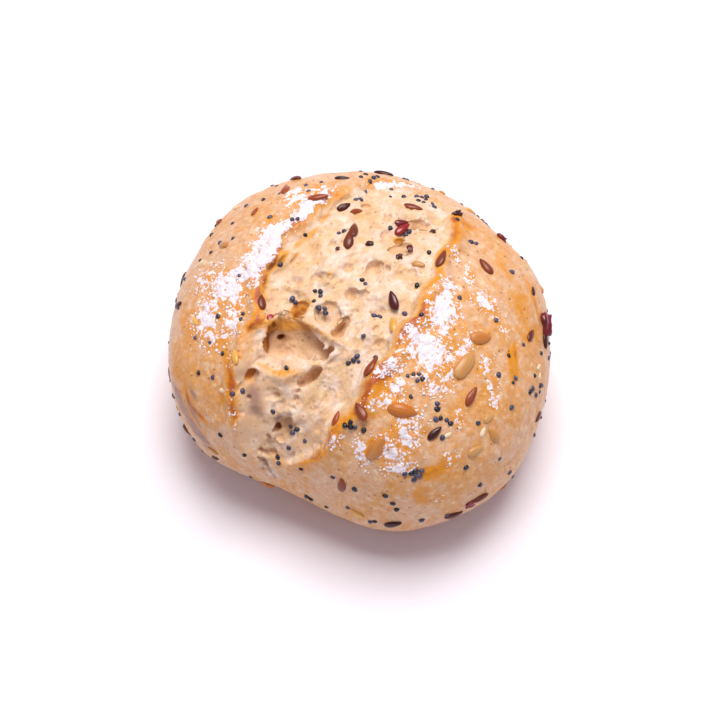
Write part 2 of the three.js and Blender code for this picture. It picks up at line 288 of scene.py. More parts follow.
# Where the oven browned the crust most: bearing, tilt, heading, length, width, how brown.
BROWNED = (
    (61, 47, 100, 10, 6, 0.7),
    (28, 63, 104, 16, 7, 0.6),
    (40, 57, 144, 14, 6, 0.4),
    (-116, 60, 134, 16, 3, 0.8),
    (-58, 44, 71, 16, 4, 0.9),
    (-19, 29, 82, 14, 3, 0.8),
    (-129, 42, 29, 5, 4, 1.0),
    (-42, 73, 61, 9, 5, 0.7),
    (-47, 78, 66, 7, 4, 0.6),
    (1, 63, 121, 12, 3, 0.7),
    (-128, 76, 144, 7, 3, 0.7),
    (-115, 68, 40, 5, 3, 0.6),
    (163, 57, 109, 6, 3, 0.5),
    (145, 35, 81, 10, 2, 0.7),
    (-162, 37, 91, 12, 3, 0.8),
    (-80, 72, 35, 12, 3, 0.9),
    (179, 34, 85, 10, 3, 0.4),
    (-150, 68, 123, 12, 5, 0.4),
    (-130, 79, -3, 3.4, 1.6, 1.3),
    (-126, 77, -70, 8, 1.9, 1.4),
    (-121, 78, -27, 8, 1.8, 1.3),
    (-116, 90, -15, 3, 1, 0.9),
    (-117, 60, -60, 8, 1.6, 0.7),
    (-112, 67, -59, 8, 1.4, 0.6),
    (-130, 41, -9, 3.2, 2.6, 1.0),
    (-128, 46, 90, 7, 1.4, 0.9),
    (-42, 72, 49, 7, 3.4, 1.1),
    (-47, 79, -28, 6, 3.6, 0.9),
    (5, 63, -54, 9, 1.6, 1.2),
    (17, 70, -41, 7, 1.6, 0.8),
    (64, 52, 33, 8, 3.4, 1.1),
    (61, 43, 111, 8, 4, 0.8),
    (67, 48, 17, 4, 3, 1.0),
    (23, 61, -20, 8, 1.4, 0.8),
    (28, 68, -34, 9, 1.6, 1.0),
    (-78, 70, 41, 8, 1.8, 0.8),
    (-135, 75, -50, 16, 10, 0.55),
    (-123, 82, -50, 14, 6, 0.7),
)

# The golden rim of the slash's left edge.
LEFT_RIM = (
    (142, 37, -96, 6, 1.6, 0.9),
    (157, 32, -104, 6, 1.6, 0.9),
    (171, 33, -101, 6, 1.7, 0.9),
    (-173, 33, -102, 6, 1.6, 0.8),
    (-164, 36, -90, 6, 1.8, 1.0),
    (-155, 38, -79, 5, 1.8, 1.0),
    (-145, 40, -66, 5, 1.8, 0.9),
)

# Seeds: bearing, tilt, heading, length, and tone from 0, pale, to 1, dark.
LINSEEDS = (
    (141, 65, 157, 4.7, 0.6), (125, 54, 17, 3.8, 0.95), (127, 40, 53, 4.1, 0.85),
    (120, 37, 16, 3.1, 0.3), (124, 25, 112, 4.5, 0.6), (132, 20, 109, 5, 0.6),
    (89, 46, 12, 4.7, 0.5), (43, 33, 96, 4.7, 0.5),
    (-140, 40, 124, 4.1, 0.6), (39, 50, 155, 4.7, 0.5),
    (-63, 52, 144, 4.7, 0.45), (-38, 62, 75, 4.1, 0.95), (-69, 79, 98, 4.4, 0.4),
    (16, 67, 87, 3.8, 0.6), (-20, 59, 90, 4.7, 0.35), (-57, 39, 82, 5, 0.4),
    (-73, 57, 88, 3.8, 0.2), (165, 55, 100, 3.1, 0.25), (-1, 85, 75, 4, 0.7),
    (20, 75, 132, 4.6, 1.0), (-157, 73, 11, 3.8, 0.8), (-54, 94, 52, 4.6, 0.9),
    (-37, 94, 41, 4.7, 0.7), (-29, 91, 57, 4.4, 0.6), (-113, 95, 39, 3.1, 0.7),
    (141, 41, 28, 4.7, 0.3), (168, 76, 151, 4.4, 0.4), (33, 67, 116, 2.5, 0.9),
)
RED_LINSEEDS = ((85, 34, 69, 4.2, 0.2), (88, 36, 40, 3.4, 0.6), (-12, 18, 128, 4.6, 0.8))
GOLDEN_LINSEEDS = (
    (-31, 26, 128, 4.4, 0.3), (-121, 54, 127, 3.8, 0.2), (87, 70, 79, 3.5, 0.5),
    (74, 68, 56, 3.5, 0.3), (-64, 92, 147, 3.5, 0.2), (-113, 90, 176, 3, 0.5),
    (-145, 63, 150, 3, 0.1),
)
KERNELS = (
    (1, 50, 43, 5.7, 0.6), (-14, 51, 84, 7.2, 0.3), (-47, 53, 15, 6.3, 0.8),
    (-58, 63, 81, 6.0, 0.55), (-20, 72, 167, 4.4, 0.3), (-176, 57, 161, 3.6, 0.5),
    (46, 26, 14, 2.8, 0.2), (39, 77, 87, 3.2, 0.4), (51, 78, 74, 3.2, 0.4),
    (-28, 72, 59, 4.0, 0.2), (-19, 67, 69, 3.0, 0.0),
)
BERRIES = (
    (57, 67, 11, 3.0, 0.6), (104, 19, 25, 2.1, 0.95), (64, 26, 108, 1.9, 0.7),
    (69, 41, 60, 1.7, 0.9), (-32, 91, 42, 2.6, 0.4), (25, 74, 117, 5.4, 0.6),
    (70, 52, 52, 2.5, 0.9), (-130, 40, 65, 2.2, 0.1), (61, 20, 29, 1.6, 0.9), (149, 19, 20, 1.1, 0.8),
)
SESAMES = (
    (-117, 65, 12, 2.2, 0.2), (9, 74, 85, 2.0, 0.3), (7, 76, 119, 1.8, 0.3),
    (-34, 64, 59, 2.0, 0.2), (-23, 69, 105, 2.4, 0.1),
)
# Poppy seeds: bearing, tilt, how many lie together.
POPPIES = (
    (-139, 19, 3), (-112, 21, 3), (-68, 37, 4), (-38, 20, 2), (-61, 27, 1), (-53, 36, 1),
    (133, 26, 2), (93, 32, 1), (80, 35, 2), (89, 51, 6), (96, 50, 1), (81, 52, 2), (54, 32, 1),
    (21, 24, 1), (-14, 25, 1), (-11, 29, 1), (16, 39, 1), (53, 51, 2), (13, 53, 1), (3, 61, 1),
    (-2, 66, 1), (5, 78, 3), (-34, 59, 4), (-37, 44, 5), (-42, 50, 1), (-67, 57, 4), (-62, 58, 1),
    (-88, 67, 3), (-84, 70, 1), (-89, 74, 1), (-91, 80, 2), (-83, 79, 1), (-72, 77, 1),
    (-65, 79, 1), (-99, 64, 1), (-103, 48, 1), (-102, 82, 1), (-111, 79, 1), (-127, 58, 1),
    (-123, 65, 1), (-142, 55, 1), (-128, 68, 1), (162, 33, 1), (-167, 34, 1), (162, 37, 2),
    (166, 46, 1), (-179, 54, 1), (-156, 47, 2), (-45, 71, 4), (-50, 71, 3), (-29, 84, 1),
    (70, 73, 7), (113, 52, 2), (120, 42, 2), (-128, 23, 1), (-140, 31, 2),
)

# Poppy seeds that the CAD model leaves out.
SMALL_POPPIES = (
    (5, 73, 1), (1, 74, 2), (1, 77, 1), (-10, 70, 1), (-6, 61, 1), (11, 65, 1), (-23, 66, 1),
    (-36, 64, 1), (-21, 80, 1), (-32, 75, 1), (-18, 90, 1), (-56, 79, 1), (-54, 82, 1),
    (-53, 85, 1), (-67, 90, 1), (-59, 94, 2), (-39, 92, 1), (-46, 92, 1), (-74, 96, 1),
    (-81, 95, 2), (-101, 97, 1), (-122, 95, 1), (-136, 91, 1), (-131, 94, 1), (-20, 3, 2),
    (-113, 63, 2), (-139, 64, 1), (-134, 60, 1), (-138, 47, 2), (67, 49, 1), (38, 59, 1),
    (-4, 66, 1), (14, 74, 1), (-33, 55, 2),
)

# All the lists above that hold single seeds.
SEED_LISTS = (LINSEEDS, RED_LINSEEDS, GOLDEN_LINSEEDS, KERNELS, BERRIES, SESAMES)

# The CAD model's linseeds, kernels and poppy seeds on the far side: how many, and their gap.
STREWN = ((20, 8), (5, 12), (28, 5))
STREWN_SEED = 7
# The tilts that they lie between, and how far they stay from the slash.
STREWN_TILTS = (8, 104)
SLASH_GAP = 1
# How long they are, and by how much of that they differ.
FAR_LINSEED = 4.5
FAR_KERNEL = 6.2
FAR_POPPY = 1.25
FAR_SPREAD = 0.2
FAR_SEED = 3
# Small seeds scattered there as well: count, gap, start of the draw, and size.
FAR_SESAMES = (12, 6, 31, 2.1)
FAR_POPPIES = (90, 2.2, 41, 1.25)
# How low they reach, as the height of their direction.
LOWEST_SCATTERED = -0.3

# The side that the seeds above cover, as a direction, and how far round it they reach.
NEAR_SIDE = np.array((0.227, -0.446, 0.866))
NEAR_SIDE_LIMIT = 0.25


def smoothstep(x, low, high):
    t = np.clip((x - low) / (high - low), 0, 1)
    return t * t * (3 - 2 * t)


def bump(x, middle, span):
    return np.exp(-(((x - middle) / span) ** 2))


def chance(seed):
    """A repeatable source of numbers from 0 to 1, the same as the CAD model's."""
    state = [seed]

    def draw():
        state[0] = (state[0] * 1664525 + 1013904223) & 0xFFFFFFFF
        return state[0] / 2**32

    return draw


def drawn_direction(draw):
    height = 2 * draw() - 1
    bearing = 2 * math.pi * draw()
    level = math.sqrt(1 - height * height)
    return np.array((level * math.cos(bearing), level * math.sin(bearing), height))


def swell_of(seed, waves, length, height):
    """Sine waves in drawn directions, added up."""
    draw = chance(seed)
    across = []
    phases = []
    for _ in range(waves):
        direction = drawn_direction(draw)
        across.append(direction * 2 * math.pi / (length * (0.7 + 0.6 * draw())))
        phases.append(2 * math.pi * draw())
    across = np.array(across).T
    share = height / math.sqrt(waves)
    return lambda points: share * np.sin(points @ across + phases).sum(axis=-1)


crust_swell = swell_of(*CRUST_SWELL)
crumb_swell = swell_of(*CRUMB_SWELL)


def belly_radius(bearing):
    waves = (high * np.cos(lobes * (bearing - math.radians(peak))) for lobes, high, peak in OUTLINE_WAVES)
    return BELLY_RADIUS + sum(waves)


def body_point(directions):
    """The round body before the slash: superellipses over and under the belly."""
    above = directions[:, 2] >= 0
    fullness = np.where(above, CROWN_FULLNESS, UNDERSIDE_FULLNESS)
    rise = np.where(above, HEIGHT - BELLY_HEIGHT, UNDERSIDE_DROP)
    radius = belly_radius(np.arctan2(directions[:, 1], directions[:, 0]))
    flat = (np.hypot(directions[:, 0], directions[:, 1]) / radius) ** fullness
    tall = (np.abs(directions[:, 2]) / rise) ** fullness
    return directions * ((flat + tall) ** (-1 / fullness))[:, None]


def slash_at(points):
    """How far points lie inside the slash, how open it is there, and the angle along it."""
    along = np.degrees(np.arctan2(points[:, 1], points[:, 2]))

    def arc(edge):
        reach, middle, span = edge
        return reach * np.sqrt(np.maximum(0, 1 - ((along - middle) / span) ** 2))

    ragged = TORN_EDGE_HEIGHT * np.sin(np.radians(along * TORN_EDGE_WAVES))
    flap = FLAP_REACH * bump(along, FLAP_MIDDLE, FLAP_SPAN)
    flap += BULGE_REACH * bump(along, BULGE_MIDDLE, BULGE_SPAN)
    from_left = points[:, 0] + arc(SLASH_LEFT) + ragged - flap
    from_right = arc(SLASH_RIGHT) - ragged - points[:, 0]
    opening = smoothstep(arc(SLASH_LEFT), OPENING_CLOSED, OPENING_WIDE)
    return np.minimum(from_left, from_right), opening, along


def skin_point(directions):
    """Points of the skin: the body, its swells, the lips of the slash and the sunken crumb."""
    points = body_point(directions)
    inside, opening, along = slash_at(points)
    torn = opening * smoothstep(inside, 0, STEP_WIDTH)
    recess = RECESS_SHALLOW + (RECESS_DEEP - RECESS_SHALLOW) * bump(along, RECESS_MIDDLE, RECESS_SPAN)
    lip = opening * LIP_HEIGHT * bump(inside, -LIP_OFFSET, LIP_WIDTH)
    lift = lip + (1 - torn) * crust_swell(points) + torn * (crumb_swell(points) - recess)
    points = points + directions * lift[:, None]
    points[:, 2] = np.maximum(points[:, 2], -BELLY_HEIGHT)
    return points


def direction_of(bearing, tilt):
    turn, lean = math.radians(bearing), math.radians(tilt)
    return np.array((math.sin(lean) * math.cos(turn), math.sin(lean) * math.sin(turn), math.cos(lean)))


def place_on_skin(direction):
    """The point and the normal of the skin in one direction."""
    step = 0.03
    a = np.cross(direction, (0.3, 1, 0.2))
    a /= np.linalg.norm(a)
    b = np.cross(direction, a)
    around = np.array((direction, direction + a * step, direction + b * step))
    around /= np.linalg.norm(around, axis=1)[:, None]
    here, near_a, near_b = skin_point(around)
    normal = np.cross(near_a - here, near_b - here)
    normal /= np.linalg.norm(normal)
    if normal @ direction < 0:
        normal = -normal
    return Vector(here), Vector(normal)


def set_on_skin(direction, heading, under):
    """The matrix that carries a shape made round the origin, along +X, to the skin."""
    here, normal = place_on_skin(direction)
    turn = Vector((0, 0, 1)).rotation_difference(normal) @ Quaternion((0, 0, 1), math.radians(heading))
    return Matrix.Translation(here - normal * under) @ turn.to_matrix().to_4x4()


# How fast a soft ellipse fades.
ELLIPSE_FALL = 1.2


def ellipse_share(points, bearing, tilt, heading, length, width):
    """1 at the middle of a soft ellipse on the skin, falling to 0.3 at its rim."""
    matrix = set_on_skin(direction_of(bearing, tilt), heading, 0)
    local = (points - np.array(matrix.translation)) @ np.array(matrix.to_3x3())
    scaled = local / (length / 2, width / 2, max(length, width) / 2)
    return np.exp(-ELLIPSE_FALL * (scaled**2).sum(axis=1))


def to_metres(points):
    return (points + np.array(BELLY_MIDDLE)) * MM


def vertex_array(mesh):
    flat = np.empty(len(mesh.vertices) * 3, dtype=np.float32)
    mesh.vertices.foreach_get("co", flat)
    return flat.reshape(-1, 3).astype(float)


def normal_array(mesh):
    flat = np.empty(len(mesh.vertices) * 3, dtype=np.float32)
    mesh.vertex_normals.foreach_get("vector", flat)
    return flat.reshape(-1, 3).astype(float)


def write_vertices(mesh, points):
    mesh.vertices.foreach_set("co", points.astype(np.float32).ravel())
    mesh.update()


def shade_smooth(mesh):
    for polygon in mesh.polygons:
        polygon.use_smooth = True


def add_object(name, mesh):
    piece = bpy.data.objects.new(name, mesh)
    bpy.context.scene.collection.objects.link(piece)
    return piece


def mesh_of(name, bm):
    mesh = bpy.data.meshes.new(name)
    bm.to_mesh(mesh)
    bm.free()
    return mesh


def apply_modifiers(piece):
    """Replaces the piece's mesh with what its modifiers make of it."""
    depsgraph = bpy.context.evaluated_depsgraph_get()
    finished = bpy.data.meshes.new_from_object(piece.evaluated_get(depsgraph))
    piece.modifiers.clear()
    spent = piece.data
    piece.data = finished
    bpy.data.meshes.remove(spent)


def remove(piece):
    mesh = piece.data
    bpy.data.objects.remove(piece)
    bpy.data.meshes.remove(mesh)


# The body, still in millimetres from the middle of the belly

SKIN_LEVELS = 7
CROWN_CROWDING = 0.3
VOXEL = 0.34
DECIMATED_TO = 190000
# How much sooner the crust and the underside lose faces than the tear.
CRUST_THINNING = 0.35
UNDERSIDE_THINNING = 0.65
# Lumps in a bubble's wall: how high and how often, as a share of the bubble.
BUBBLE_LUMPS = ((0.22, 1.3), (0.16, 3.2))


def web_lift(points):
    """Webs of dough as rounded ridges along their paths."""
    lift = np.zeros(len(points))
    for height, width, *corners in WEBS:
        path = skin_point(np.array([direction_of(*corner) for corner in corners]))
        near = np.full(len(points), np.inf)
        for a, b in zip(path, path[1:]):
            along = b - a
            share = np.clip((points - a) @ along / (along @ along), 0, 1)
            apart = np.linalg.norm(points - a - share[:, None] * along, axis=1)
            near = np.minimum(near, apart)
        lift += height * bump(near, 0, width)
    return lift


def body_blank():
    bm = bmesh.new()
    bmesh.ops.create_icosphere(bm, subdivisions=SKIN_LEVELS, radius=1)
    mesh = mesh_of("bread_roll_body", bm)
    directions = vertex_array(mesh)
    directions[:, 2] += CROWN_CROWDING
    directions /= np.linalg.norm(directions, axis=1)[:, None]
    points = skin_point(directions)
    write_vertices(mesh, points + directions * web_lift(points)[:, None])
    return add_object("bread_roll_body", mesh)


def bubble_cutter(bearing, tilt, heading, length, width, depth, under, lean):
    """A gas bubble: an ellipsoid with an uneven wall."""
    bm = bmesh.new()
    bmesh.ops.create_icosphere(bm, subdivisions=4, radius=1)
    offset = Vector((bearing, tilt, heading))
    for v in bm.verts:
        v.co *= 1 + sum(height * noise.noise(v.co * often + offset) for height, often in BUBBLE_LUMPS)
    bmesh.ops.scale(bm, vec=(length / 2, width / 2, depth), verts=bm.verts)
    bmesh.ops.rotate(bm, cent=(0, 0, 0), matrix=Matrix.Rotation(math.radians(lean), 3, "Y"), verts=bm.verts)
    bmesh.ops.transform(bm, matrix=set_on_skin(direction_of(bearing, tilt), heading, under), verts=bm.verts)
    return add_object("bubble", mesh_of("bubble", bm))


def cut_bubbles(body):
    """Cuts the bubbles out of the body and makes one even fine mesh of what is left."""
    cutters = []
    for bubble in BUBBLES:
        cutter = bubble_cutter(*bubble)
        cutters.append(cutter)
        cut = body.modifiers.new("bubble", "BOOLEAN")
        cut.operation = "DIFFERENCE"
        cut.solver = "MANIFOLD"
        cut.object = cutter
    remesh = body.modifiers.new("even", "REMESH")
    remesh.mode = "VOXEL"
    remesh.voxel_size = VOXEL
    apply_modifiers(body)
    for cutter in cutters:
        remove(cutter)


def thin_out(body):
    """Fewer faces on the underside and the crust, none fewer in the tear."""
    points = vertex_array(body.data)
    inside, _, _ = slash_at(points)
    low = smoothstep(points[:, 2], 5, -12)
    weight = CRUST_THINNING * smoothstep(inside, 1, -2) + UNDERSIDE_THINNING * low
    group = body.vertex_groups.new(name="thin")
    for share in np.unique(np.round(weight, 1)):
        chosen = np.nonzero(np.round(weight, 1) == share)[0]
        group.add(chosen.tolist(), float(share), "REPLACE")
    faces = 2 * len(body.data.polygons)
    thinner = body.modifiers.new("thinner", "DECIMATE")
    thinner.ratio = min(1, DECIMATED_TO / faces)
    thinner.vertex_group = "thin"
    thinner.use_collapse_triangulate = True
    apply_modifiers(body)
    body.vertex_groups.clear()


# Small open pores all over the crumb: how many, their smallest and largest radius, the middle
# and the spread of their headings, and the size of the patches that they crowd together in.
PORES = 520
PORE_RADIUS = (0.35, 1.5)
PORE_HEADING = (75, 28)
PORE_PATCH = 9.0
PORE_SEED = 5
# The dough tore in strands, askew to the slash.
STRAND_LENGTH = 8.0
STRAND_WIDTH = 2.6
STRAND_ASKEW = math.radians(20)
STRAND_HEIGHT = 0.275
# Each noise in the relief: its feature length, its octaves and its place in the noise. Those
# of the crust start with their heights.
CRUST_GRAIN = ((0.17, 4.5, 2, 1.0), (0.14, 1.6, 3, 5.0))
TORN_EDGE = (2.2, 3, 33.0)
STRAND_SWAY = (8.0, 2, 21.0)
STRAND_CRESTS = (1.0, 2, 2.0)
FLOUR_CLUMPS = (1.6, 3, 12.0)
CRUMB_GRAIN = (1.8, 2, 3.0)
CRUMB_GRAIN_HEIGHT = 0.07
BUBBLE_GRAIN_HEIGHT = 0.1
FLOUR_THICKNESS = 0.45


def pore_places():
    """Pores by chance in the tear, mostly small, drawn out along the slash."""
    rng = np.random.default_rng(PORE_SEED)
    small, large = PORE_RADIUS
    heading_middle, heading_spread = PORE_HEADING
    found = []
    while len(found) < PORES:
        direction = rng.normal(size=3)
        direction /= np.linalg.norm(direction)
        if direction[2] < -0.1:
            continue
        body = body_point(direction[None])
        inside, opening, _ = slash_at(body)
        crowd = noise.noise(Vector(body[0]) / PORE_PATCH)
        if inside[0] < 0.3 or opening[0] < 0.05 or rng.random() > 0.55 + 1.6 * crowd:
            continue
        radius = small + (large - small) * rng.random() ** 3.4
        heading = heading_middle + rng.normal(0, heading_spread)
        found.append((direction, heading, radius * (1.1 + 0.9 * rng.random()), radius, rng.random()))
    return found


def pore_depth(points):
    """How deep the pores dent the crumb at each point; where two meet a thin wall stands."""
    depth = np.zeros(len(points))
    for direction, heading, long, wide, luck in pore_places():
        matrix = set_on_skin(direction, heading, 0)
        middle = np.array(matrix.translation)
        near = np.nonzero(np.abs(points - middle).max(axis=1) < long + 1.5)[0]
        local = (points[near] - middle) @ np.array(matrix.to_3x3())
        reach = (local[:, 0] / long) ** 2 + (local[:, 1] / wide) ** 2
        dent = wide * (0.2 + 0.55 * luck) * np.clip(1 - reach, 0, 1) ** 0.8
        depth[near] = np.maximum(depth[near], dent)
    return depth


def noise_at(points, length, octaves, offset):
    """Smooth noise, about -1 to 1, with features of that length in millimetres."""
    shift = Vector((offset, offset * 0.7, -offset))
    return np.array([noise.fractal(Vector(p) / length + shift, 1.0, 2.0, octaves) for p in points])


def strands(points, along):
    """Sharp crests drawn out along the tear, about -1 to 1."""
    reach = np.radians(along) * BELLY_RADIUS
    down = reach * math.cos(STRAND_ASKEW) + points[:, 0] * math.sin(STRAND_ASKEW)
    across = points[:, 0] * math.cos(STRAND_ASKEW) - reach * math.sin(STRAND_ASKEW)
    sway = noise_at(points, *STRAND_SWAY) * 1.5
    flat = np.stack((down / STRAND_LENGTH, (across + sway) / STRAND_WIDTH, sway * 0.2), axis=1)
    crest = noise_at(flat, *STRAND_CRESTS)
    return 1 - 2.5 * np.abs(crest)


def add_attribute(mesh, name, values):
    attribute = mesh.attributes.new(name, "FLOAT", "POINT")
    attribute.data.foreach_set("value", np.asarray(values, dtype=np.float32))


def patch_share(points, patches):
    """The strongest of some soft patches at each point."""
    share = np.zeros(len(points))
    for bearing, tilt, heading, length, width, strength in patches:
        share = np.maximum(share, strength * ellipse_share(points, bearing, tilt, heading, length, width))
    return share


# How far round a seed the crust is browned and darkened with painted contact shade, as a share of
# its length; a poppy seed's reach is in millimetres.
BROWNING_AND_SHADE_REACH = 0.62
POPPY_BROWNING_AND_SHADE = 1.3


def browning_and_shade_by_seeds(points):
    """1 beside a seed, falling to 0 a little way off: real browning and painted contact shade round it."""
    tree = KDTree(sum(len(seeds) for seeds in (*SEED_LISTS, POPPIES)))
    reach = []
    for seeds in SEED_LISTS:
        for bearing, tilt, _, length, _ in seeds:
            tree.insert(skin_point(direction_of(bearing, tilt)[None])[0], len(reach))
            reach.append(BROWNING_AND_SHADE_REACH * length)
    for bearing, tilt, _ in POPPIES:
        tree.insert(skin_point(direction_of(bearing, tilt)[None])[0], len(reach))
        reach.append(POPPY_BROWNING_AND_SHADE)
    tree.balance()
    seed_browning_and_shade = np.zeros(len(points))
    for i, point in enumerate(points):
        _, seed, apart = tree.find(point)
        seed_browning_and_shade[i] = math.exp(-((apart / reach[seed]) ** 2))
    return seed_browning_and_shade


def tear_masks(points, directions):
    """Where the crumb shows, where it skinned over, where the edge of the tear stands up and
    browned, and the angle along the slash."""
    inside, opening, along = slash_at(body_point(directions))
    ragged = noise_at(points, *TORN_EDGE)
    lace = smoothstep(patch_share(points, LACE) + 0.2 * ragged, 0.25, 0.6)
    closed = smoothstep(patch_share(points, CLOSED) + 0.15 * ragged, 0.2, 0.5)
    smooth = smoothstep(patch_share(points, SMOOTH) + 0.15 * ragged, 0.25, 0.75) * (1 - lace)
    torn = smoothstep(opening, 0.1, 0.6) * smoothstep(inside + 0.5 * ragged, -0.3, 0.7)
    torn = np.maximum(torn * (1 - closed), lace)
    ear = smoothstep(opening, 0.1, 0.8) * bump(np.minimum(inside + 0.6 * ragged, 0.1), 0, 1.0)
    ear *= smoothstep(inside, 1.4, 0.4) * (1 - smooth) * (1 - closed)
    return torn, smooth, ear, along


def crumb_relief(points, along, hollow, smooth):
    """How far the strands and the grain of the crumb stand up, and how deep its pores are."""
    rough = 1 - 0.9 * smooth
    lift = STRAND_HEIGHT * (strands(points, along) - 0.3) * smoothstep(hollow, 1.6, 0.4)
    grain_height = CRUMB_GRAIN_HEIGHT + BUBBLE_GRAIN_HEIGHT * smoothstep(hollow, 1.2, 2.4)
    lift += grain_height * noise_at(points, *CRUMB_GRAIN)
    pores = pore_depth(points) * (smoothstep(hollow, 2.0, 0.6) * rough)
    return lift * rough, pores


def crust_relief(points):
    """How far the grain of the crust stands up, less of it on the flat base."""
    base = smoothstep(points[:, 2], -BELLY_HEIGHT + 1.5, -BELLY_HEIGHT + 0.2)
    return sum(height * noise_at(points, *grain) for height, *grain in CRUST_GRAIN) * (1 - 0.8 * base)


def flour_relief(points, flour):
    """How high the flour lies, in clumps."""
    clumps = np.clip(noise_at(points, *FLOUR_CLUMPS) * 1.2 + 0.4, 0, 1)
    return FLOUR_THICKNESS * smoothstep(flour, 0.2, 0.7) * clumps


def finish_body(body):
    """Fine relief on the body and the values that its material reads."""
    mesh = body.data
    points = vertex_array(mesh)
    normals = normal_array(mesh)
    reach = np.linalg.norm(points, axis=1)
    directions = points / reach[:, None]
    hollow = np.maximum(0, np.linalg.norm(skin_point(directions), axis=1) - reach)
    torn, smooth, ear, along = tear_masks(points, directions)
    flour = patch_share(points, FLOUR)

    crumb = np.nonzero(torn > 0)[0]
    crumb_lift = np.zeros(len(points))
    pores = np.zeros(len(points))
    torn_part = (points[crumb], along[crumb], hollow[crumb], smooth[crumb])
    crumb_lift[crumb], pores[crumb] = crumb_relief(*torn_part)
    crust_lift = crust_relief(points) + flour_relief(points, flour)
    lift = torn * (crumb_lift - pores) + (1 - torn) * crust_lift
    points = points + normals * lift[:, None]
    points[:, 2] = np.maximum(points[:, 2], -BELLY_HEIGHT)
    write_vertices(mesh, to_metres(points))
    shade_smooth(mesh)

    # Less painted hollow shade where a floor stays bright.
    hollow *= 1 - 0.8 * np.minimum(patch_share(points, BRIGHT_FLOORS), 1)
    add_attribute(mesh, "crumb", torn)
    # The depth of hollows and pores, which the crumb's finish turns into painted shade.
    add_attribute(mesh, "hollow", hollow + 1.5 * pores)
    add_attribute(mesh, "smooth", smooth)
    add_attribute(mesh, "ear", ear)
    add_attribute(mesh, "flour", flour * (1 - 0.9 * torn))
    add_attribute(mesh, "browned", patch_share(points, BROWNED + LEFT_RIM))
    # Golden crumb; where this passes 1 it is painted shade in holes and under the arch.
    add_attribute(mesh, "golden_and_shade", patch_share(points, GOLDEN_AND_SHADE + LEFT_RIM))
    # Where lilac-grey shade is painted.
    add_attribute(mesh, "lilac", patch_share(points, LILAC_SHADE))
    # Browning and painted contact shade round each seed.
    add_attribute(mesh, "seed_browning_and_shade", browning_and_shade_by_seeds(points))


def bread_body():
    body = body_blank()
    cut_bubbles(body)
    thin_out(body)
    finish_body(body)
    body.data.materials.clear()
    body.data.materials.append(bread_material())
    return body


# Materials

def linear(hex_colour):
    """An sRGB hex colour as linear RGBA."""
    channels = [int(hex_colour[i : i + 2], 16) / 255 for i in (1, 3, 5)]
    return (*(c / 12.92 if c <= 0.04045 else ((c + 0.055) / 1.055) ** 2.4 for c in channels), 1)


def node(tree, kind, inputs=None, output=0, **settings):
    """Adds a node and gives one of its outputs. Settings are the node's own, and each input is
    a value or another node's output."""
    made = tree.nodes.new(kind)
    for name, value in settings.items():
        setattr(made, name, value)
    for name, value in (inputs or {}).items():
        if isinstance(value, bpy.types.NodeSocket):
            tree.links.new(value, made.inputs[name])
        else:
            made.inputs[name].default_value = value
    return made.outputs[output]


def new_material(name, **constants):
    """A material, its node tree, its shader and the coordinates of the piece."""
    material = bpy.data.materials.new(name)
    material.use_nodes = True
    tree = material.node_tree
    tree.nodes.clear()
    shader = node(tree, "ShaderNodeBsdfPrincipled", constants).node
    finish = tree.nodes.new("ShaderNodeOutputMaterial")
    tree.links.new(shader.outputs[0], finish.inputs["Surface"])
    where = node(tree, "ShaderNodeTexCoord", output="Object")
    return material, tree, shader, where


def painted(tree, colour, has, coats):
    """The colour after each coat: which value it follows, where it starts and is full, how
    strong it is there, and its hex colour."""
    for name, start, full, strength, paint in coats:
        share = node(
            tree,
            "ShaderNodeMapRange",
            {"Value": has[name], "From Min": start, "From Max": full, "To Max": strength},
            interpolation_type="SMOOTHSTEP",
        )
        colour = node(tree, "ShaderNodeMix", {0: share, 6: colour, 7: linear(paint)}, 2, data_type="RGBA")
    return colour


# Which values the bread's finish reads from its mesh.
BREAD_VALUES = ("crumb", "smooth", "hollow", "ear", "flour", "browned", "golden_and_shade", "lilac", "seed_browning_and_shade")
# Its noises: feature length in millimetres, detail, roughness, and how each is stretched.
BREAD_NOISES = (
    ("broad", 11, 3, 0.5, (1, 1, 1)),
    ("middling", 3.5, 4, 0.6, (1, 1, 1)),
    ("fine", 0.9, 4, 0.65, (1, 1, 1)),
    ("clumps", 2.0, 5, 0.7, (1, 1, 1)),
    ("mottle", 1.7, 5, 0.7, (1, 1, 1)),
    ("streaks", 2.2, 3, 0.6, (1, 1, 0.35)),
    ("threads", 1.3, 4, 0.65, (1, 0.35, 1)),
)
# Its cells: the distance between them in millimetres.
BREAD_CELLS = (("specks", 2.2), ("pinholes", 1.9), ("grains", 0.75))
# What it works out from those: a start, and each value with its weight.
BREAD_SUMS = (
    ("gold", 0, ("broad", 1), ("streaks", 0.8)),
    # Heat and warm take in the browning and painted contact shade round seeds.
    ("heat", -0.9, ("browned", 1.3), ("ear", 0.8), ("flour", 1.5), ("seed_browning_and_shade", 0.45), ("middling", 1.8)),
    ("warm", 0, ("golden_and_shade", 1), ("ear", 0.7), ("seed_browning_and_shade", 0.35)),
    # Painted lilac-grey shade: the lilac patches, broken up by middling noise.
    ("painted_lilac_shade", -0.4, ("lilac", 1), ("middling", 0.8)),
    ("film", -0.6, ("flour", 0.9), ("fine", 1)),
    ("cover", 0.33, ("clumps", 3), ("grains", -0.65), ("flour", 1.12)),
    ("crust", 1, ("crumb", -1)),
    ("torn", 0, ("crumb", 1), ("smooth", -0.8)),
    ("wrinkles", 0, ("fine", 0.4), ("streaks", 0.6)),
    ("films", 0, ("fine", 0.6), ("threads", 1.2)),
    ("powder", 0, ("clumps", 1), ("grains", -0.4)),
)
